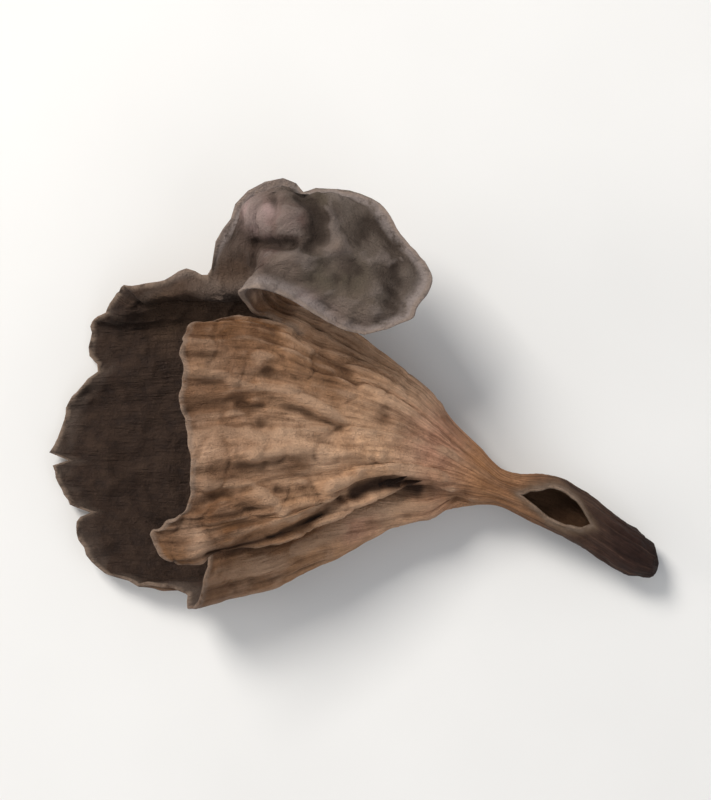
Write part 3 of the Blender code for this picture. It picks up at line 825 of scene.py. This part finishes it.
def skin_points(sheet):
    """Points and faces of the whole skin: outer face, inner face and rounded rims."""
    normals = sheet.facing
    half = 0.5 * thickness(sheet)[..., None]
    outer = sheet.flat(sheet.points + half * normals)
    inner = sheet.flat(sheet.points - half * normals)
    count = len(outer)
    points = [outer, inner]
    marks = [np.zeros(count), np.ones(count)]
    quads = sheet.quads()
    faces = [quads, quads[:, ::-1] + count]
    source = [np.arange(count), np.arange(count)]
    total = 2 * count
    for loop, inward in open_rims(sheet):
        rows, columns = np.array(loop).T
        numbers = sheet.number[rows, columns]
        middle = sheet.points[rows, columns]
        normal = normals[rows, columns]
        away = middle - sheet.points[tuple(np.array(inward).T)]
        away -= np.sum(away * normal, axis=1, keepdims=True) * normal
        away /= np.linalg.norm(away, axis=1, keepdims=True)
        previous = numbers
        for step in range(1, RIM_STEPS + 1):
            turn = math.pi * step / RIM_STEPS
            if step < RIM_STEPS:
                outwards = math.cos(turn) * normal + math.sin(turn) * away
                points.append(middle + half[rows, columns] * outwards)
                marks.append(np.full(len(loop), step / RIM_STEPS))
                source.append(numbers)
                following = total + np.arange(len(loop))
                total += len(loop)
            else:
                following = numbers + count
            strip = (previous, following, np.roll(following, -1), np.roll(previous, -1))
            faces.append(np.stack(strip, axis=1))
            previous = following
    return np.concatenate(points), np.concatenate(faces), np.concatenate(marks), np.concatenate(source)


def shift_to_solid():
    """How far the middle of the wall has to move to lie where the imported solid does."""
    plain = Sheet(fine=False)
    across = 0.5 * WALL * plain.normals()
    both = np.concatenate([plain.points + across, plain.points - across])
    own_low = both.min(axis=(0, 1))
    own_high = both.max(axis=(0, 1))
    low, high = (np.array(corner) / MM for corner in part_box("mushroom"))
    shift = 0.5 * (low + high) - 0.5 * (own_low + own_high)
    shift[2] = low[2] - own_low[2]
    return shift


def add_object(name, data):
    added = bpy.data.objects.new(name, data)
    bpy.context.scene.collection.objects.link(added)
    return added


def keep_values(mesh, name, values):
    """Keep one value for each point of a mesh, for its material."""
    kept = mesh.attributes.new(name, "FLOAT", "POINT").data
    kept.foreach_set("value", values.astype(np.float32))


def add_skin(name):
    """The mushroom's skin as one mesh, with what its material needs to know at each point."""
    sheet = Sheet(fine=True)
    wrinkle(sheet)
    points, faces, inner, source = skin_points(sheet)
    points = points + shift_to_solid()
    points[:, 2] = np.logaddexp(0.0, points[:, 2] / SOFT_GROUND) * SOFT_GROUND
    faces = [list(dict.fromkeys(face)) for face in faces.tolist()]

    mesh = bpy.data.meshes.new(name)
    mesh.from_pydata((points * MM).tolist(), [], [face for face in faces if len(face) > 2])
    mesh.shade_smooth()
    keep_values(mesh, "inner", inner)
    for field in FIELDS:
        keep_values(mesh, field, sheet.flat(getattr(sheet, field))[source])
    turn = np.radians(sheet.angle)
    girth = np.stack([np.cos(turn), np.sin(turn), 0.1 * sheet.along], axis=-1)
    vectors = sheet.flat(girth)[source].astype(np.float32)
    mesh.attributes.new("girth", "FLOAT_VECTOR", "POINT").data.foreach_set("vector", vectors.ravel())
    mesh.update()
    return add_object(name, mesh)


class Shader:
    """Short calls for the nodes of one material."""

    def __init__(self, name):
        self.material = bpy.data.materials.new(name)
        self.material.use_nodes = True
        self.tree = self.material.node_tree
        self.surface = self.tree.nodes["Principled BSDF"]

    def put(self, socket, value):
        """Link a socket to another node's output, or set it to a number or colour."""
        if isinstance(value, bpy.types.NodeSocket):
            self.tree.links.new(value, socket)
        elif isinstance(value, tuple) and len(value) == 3 and socket.type == "RGBA":
            socket.default_value = (*value, 1.0)
        else:
            socket.default_value = value

    def node(self, kind, output, inputs, **settings):
        """One output of a new node with these settings and inputs."""
        node = self.tree.nodes.new("ShaderNode" + kind)
        for name, value in settings.items():
            setattr(node, name, value)
        for name, value in inputs.items():
            self.put(node.inputs[name], value)
        return node.outputs[output]

    def attribute(self, name, output="Fac"):
        return self.node("Attribute", output, {}, attribute_name=name)

    def millimetres(self):
        """The place on the object, in millimetres."""
        return self.scaled(self.node("TexCoord", "Object", {}), (1.0 / MM,) * 3)

    def scaled(self, vector, by):
        return self.node("VectorMath", "Vector", {0: vector, 1: by}, operation="MULTIPLY")

    def noise(self, vector, scale, detail, roughness=0.55, distortion=0.0):
        inputs = {"Vector": vector, "Scale": scale, "Detail": detail}
        inputs.update({"Roughness": roughness, "Distortion": distortion})
        return self.node("TexNoise", "Fac", inputs)

    def math(self, operation, first, second):
        return self.node("Math", "Value", {0: first, 1: second}, operation=operation)

    def times(self, first, second):
        return self.math("MULTIPLY", first, second)

    def step(self, value, low, high):
        """0 at low and 1 at high, smooth between them."""
        inputs = {"Value": value, "From Min": low, "From Max": high}
        return self.node("MapRange", "Result", inputs, interpolation_type="SMOOTHSTEP")

    def fade(self, value, low, high, least):
        """The least share at low and 1 at high, smooth between them."""
        return self.math("ADD", least, self.times(self.step(value, low, high), 1.0 - least))

    def ramp(self, value, stops):
        """A colour for each value, through the given places and colours."""
        node = self.tree.nodes.new("ShaderNodeValToRGB")
        self.put(node.inputs["Fac"], value)
        elements = node.color_ramp.elements
        while len(elements) < len(stops):
            elements.new(0.5)
        for element, (at, colour) in zip(elements, stops):
            element.position = at
            element.color = (*colour, 1.0)
        return node.outputs["Color"]

    def mix(self, share, first, second, blend="MIX"):
        inputs = {0: share, 6: first, 7: second}
        return self.node("Mix", 2, inputs, data_type="RGBA", blend_type=blend)

    def tint(self, colour, where, strength, tone):
        """A colour with another tone over it where a value is high."""
        return self.mix(self.times(where, strength), colour, tone)

    def stains_and_painted_light(self, colour, table):
        """A colour with the stained patches, painted light and painted shade of a table over it: where, how
        strong, and their colour.
        """
        for name, strength, tone in table:
            colour = self.tint(colour, self.attribute(name), strength, tone)
        return colour

    def shade(self, colour, strength, value, tones):
        """A colour darkened and lightened as a value says."""
        return self.mix(strength, colour, self.ramp(value, tones), "MULTIPLY")

    def paint(self, name, value):
        """Give the surface its colour or another of its values."""
        self.put(self.surface.inputs[name], value)


def outside_colour(shader, on_funnel, on_stem, patches, mottle, fibres):
    """Ochre flesh on the funnel and dark brown on the stem, with streaks and stained patches, painted light
    and shade from a table, painted highlights on its ridges, and painted shade in its crevices, its folds
    and the pleat's groove.
    """
    along = shader.attribute("along")
    girth = shader.attribute("girth", "Vector")
    crests = shader.attribute("crest")
    colour = shader.ramp(shader.times(along, 1.0 / BODY_LENGTH), BODY_COLOURS)

    bands = shader.noise(shader.scaled(girth, (4.5, 4.5, 3.0)), 1.0, 5.0, 0.65)
    pale_band = shader.times(shader.step(bands, 0.52, 0.68), on_stem)
    dark_band = shader.times(shader.step(bands, 0.46, 0.32), on_stem)
    colour = shader.tint(colour, pale_band, 0.6, (0.175, 0.100, 0.066))
    colour = shader.tint(colour, dark_band, 0.6, (0.030, 0.012, 0.009))
    colour = shader.tint(colour, shader.step(patches, 0.50, 0.72), 0.7, (0.235, 0.112, 0.045))
    colour = shader.tint(colour, shader.step(patches, 0.47, 0.28), 0.5, (0.46, 0.29, 0.19))
    colour = shader.stains_and_painted_light(colour, OUTSIDE_STAINS_AND_LIGHT)

    streaks = shader.noise(shader.scaled(girth, (15.0, 15.0, 2.2)), 1.0, 6.0, 0.62)
    colour = shader.shade(colour, 0.75, streaks, STREAK_TONES)
    colour = shader.shade(colour, 0.6, mottle, MOTTLE_TONES)
    colour = shader.shade(colour, 0.6, fibres, FIBRE_TONES)

    # Painted highlights on the ridges of the funnel
    ridge_highlight = shader.times(shader.step(crests, 0.01, 0.15), shader.fade(along, 24.0, 19.0, 0.45))
    colour = shader.tint(colour, shader.times(ridge_highlight, on_funnel), 0.60, (0.50, 0.315, 0.200))
    # Painted shade in the crevices
    crevice_shade = shader.times(shader.step(crests, -0.02, -0.22), shader.fade(along, 9.0, 17.0, 0.35))
    colour = shader.tint(colour, crevice_shade, 0.85, (0.078, 0.036, 0.016))
    # Painted shade in the deepest folds
    deep_fold_shade = shader.step(shader.attribute("relief"), -0.35, -0.80)
    colour = shader.mix(deep_fold_shade, colour, (0.100, 0.044, 0.020))
    # Painted shade along the pleat's groove
    return shader.tint(colour, shader.attribute("groove"), 0.92, (0.026, 0.011, 0.006))


def felt_colour(shader, patches, mottle, grain):
    """The dark brown inside of the funnel, paler at its rim and in the stem, with painted light where the
    lobe's shadow falls inside it.
    """
    colour = shader.ramp(mottle, FELT_COLOURS)
    colour = shader.tint(colour, shader.step(grain, 0.55, 0.75), 0.4, (0.080, 0.054, 0.041))
    # Painted light inside the funnel, where the lobe's shadow falls
    colour = shader.tint(colour, shader.attribute("throat"), 0.8, (0.150, 0.088, 0.054))
    in_stem = shader.step(shader.attribute("along"), 9.0, 6.0)
    colour = shader.mix(in_stem, colour, (0.200, 0.105, 0.055))
    rim = shader.times(shader.step(shader.attribute("to_edge"), 1.3, 0.3), shader.step(patches, 0.35, 0.55))
    return shader.tint(colour, rim, 0.6, (0.100, 0.072, 0.056))


def lobe_colour(shader, patches, mottle):
    """The grey-brown upper face of the lobe, with its pale knob and its painted highlight, painted shade in
    its crevices, painted highlights on its ridges, and a pale rim.
    """
    crests = shader.attribute("crest")
    colour = shader.ramp(patches, LOBE_COLOURS)
    colour = shader.stains_and_painted_light(colour, LOBE_STAINS_AND_LIGHT)
    # Painted shade in the crevices of the lobe's face, and painted highlights on its ridges
    colour = shader.tint(colour, shader.step(crests, 0.02, 0.20), 0.75, (0.030, 0.019, 0.013))
    colour = shader.tint(colour, shader.step(crests, -0.03, -0.20), 0.50, (0.200, 0.158, 0.138))
    rim = shader.times(shader.step(shader.attribute("to_edge"), 0.9, 0.25), shader.step(mottle, 0.25, 0.55))
    return shader.tint(colour, rim, 0.85, (0.275, 0.228, 0.209))


def flesh_material():
    """Ochre, ribbed flesh outside, dark brown felt inside, and grey-brown where it is turned back."""
    shader = Shader("Dried flesh")
    spot = shader.millimetres()
    girth = shader.attribute("girth", "Vector")
    to_edge = shader.attribute("to_edge")
    turned = shader.attribute("turned")
    fibres = shader.noise(shader.scaled(girth, (46.0, 46.0, 7.0)), 1.0, 4.0, 0.6)
    patches = shader.noise(spot, 0.42, 4.0, 0.55, 0.6)
    mottle = shader.noise(spot, 1.5, 5.0, 0.6)
    grain = shader.noise(spot, 9.0, 5.0, 0.65)
    on_funnel = shader.step(shader.attribute("along"), 6.0, 11.0)
    on_stem = shader.math("SUBTRACT", 1.0, on_funnel)
    patches = shader.math("ADD", 0.5, shader.times(shader.math("SUBTRACT", patches, 0.5), on_funnel))

    outside = outside_colour(shader, on_funnel, on_stem, patches, mottle, fibres)
    felt = felt_colour(shader, patches, mottle, grain)
    inside = shader.mix(turned, felt, lobe_colour(shader, patches, mottle))
    inside = shader.tint(inside, shader.attribute("pale"), 0.80, (0.165, 0.120, 0.095))
    turned_rim = shader.times(turned, shader.step(to_edge, 1.3, 0.9))
    colour = shader.mix(shader.math("MAXIMUM", shader.attribute("inner"), turned_rim), outside, inside)
    split_rim = shader.times(shader.step(to_edge, 0.55, 0.05), on_stem)
    colour = shader.tint(colour, split_rim, 0.7, (0.210, 0.140, 0.090))
    # Paler along the very edge of the flesh
    pale_edge = shader.times(shader.step(to_edge, 0.28, 0.0), shader.step(mottle, 0.30, 0.55))
    colour = shader.tint(colour, pale_edge, 0.6, (0.27, 0.195, 0.145))
    colour = shader.shade(colour, 0.35, grain, GRAIN_TONES)

    shader.paint("Base Color", colour)
    shader.paint("Roughness", shader.math("ADD", 0.55, shader.times(mottle, 0.35)))
    shader.paint("Specular IOR Level", 0.22)
    height = shader.math("ADD", shader.times(fibres, 0.8), shader.times(grain, 0.5))
    height = shader.math("ADD", height, shader.times(mottle, 0.8))
    bumps = {"Height": height, "Distance": BUMP_HEIGHT, "Strength": 1.0}
    shader.paint("Normal", shader.node("Bump", "Normal", bumps))
    return shader.material


def add_floor():
    """Plain pale matt board."""
    shader = Shader("Pale board")
    cloudy = shader.noise(shader.millimetres(), 0.05, 3.0)
    shader.paint("Base Color", shader.ramp(cloudy, BOARD_COLOURS))
    shader.paint("Roughness", 0.8)
    bpy.ops.mesh.primitive_plane_add(size=3.0)
    floor = bpy.context.object
    floor.name = "floor"
    floor.data.materials.append(shader.material)


def add_lighting():
    centre = 0.5 * (cad_low + cad_high)
    for name, place_m, size, watts, colour in LIGHTS:
        light = bpy.data.lights.new(name, "AREA")
        light.size = size
        light.energy = watts
        light.color = colour
        lamp = add_object(name, light)
        lamp.location = place_m
        lamp.rotation_euler = (centre - lamp.location).to_track_quat("-Z", "Y").to_euler()
    world = bpy.data.worlds.new("Soft studio")
    world.use_nodes = True
    sky = world.node_tree.nodes["Background"]
    sky.inputs["Color"].default_value = SKY_COLOUR
    sky.inputs["Strength"].default_value = SKY_STRENGTH
    bpy.context.scene.world = world
    bpy.context.scene.view_settings.view_transform = "Standard"


def add_camera():
    """Straight down on the near wall, with the mouth to the left."""
    camera = bpy.data.cameras.new("camera")
    camera.lens = LENS
    camera.sensor_width = SENSOR
    holder = add_object("camera", camera)
    centre = 0.5 * (cad_low + cad_high)
    holder.location = (centre.x, centre.y, centre.z + FRAME_HEIGHT * LENS / SENSOR)
    bpy.context.scene.camera = holder


def main():
    skin = add_skin("fruiting_body")
    skin.data.materials.append(flesh_material())
    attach(skin, "root")
    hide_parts("mushroom")
    add_floor()
    add_lighting()
    add_camera()


main()
